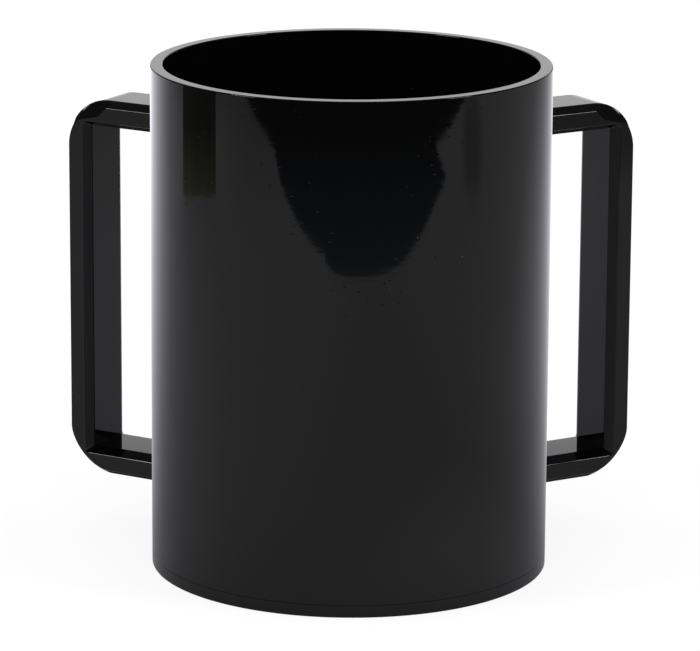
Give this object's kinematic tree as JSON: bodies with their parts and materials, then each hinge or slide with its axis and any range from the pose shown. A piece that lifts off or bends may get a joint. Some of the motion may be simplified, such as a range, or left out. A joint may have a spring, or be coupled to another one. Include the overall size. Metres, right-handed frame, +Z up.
{
  "type": "netilat yadayim washing cup",
  "caption": "Straight round cup with a flat base and squared C-shaped handles on either side, for pouring water over the hands in ritual washing.",
  "frame": {"origin": "centre of the underside, on the cup's axis, where it stands", "axes": "+Z up along the cup's axis, handles spread to either side along X and lean back towards +Y, front of the cup towards -Y"},
  "size_m": [0.1472, 0.1016, 0.1302],
  "materials": {
    "cup_acrylic": "gloss, black cast acrylic",
    "handle_acrylic": "gloss, black cast acrylic with polished bevels"
  },
  "bodies": {
    "root": {"cup_wall": "cup_acrylic", "base_disc": "cup_acrylic", "left_handle": "handle_acrylic", "right_handle": "handle_acrylic"}
  },
  "joints": []
}
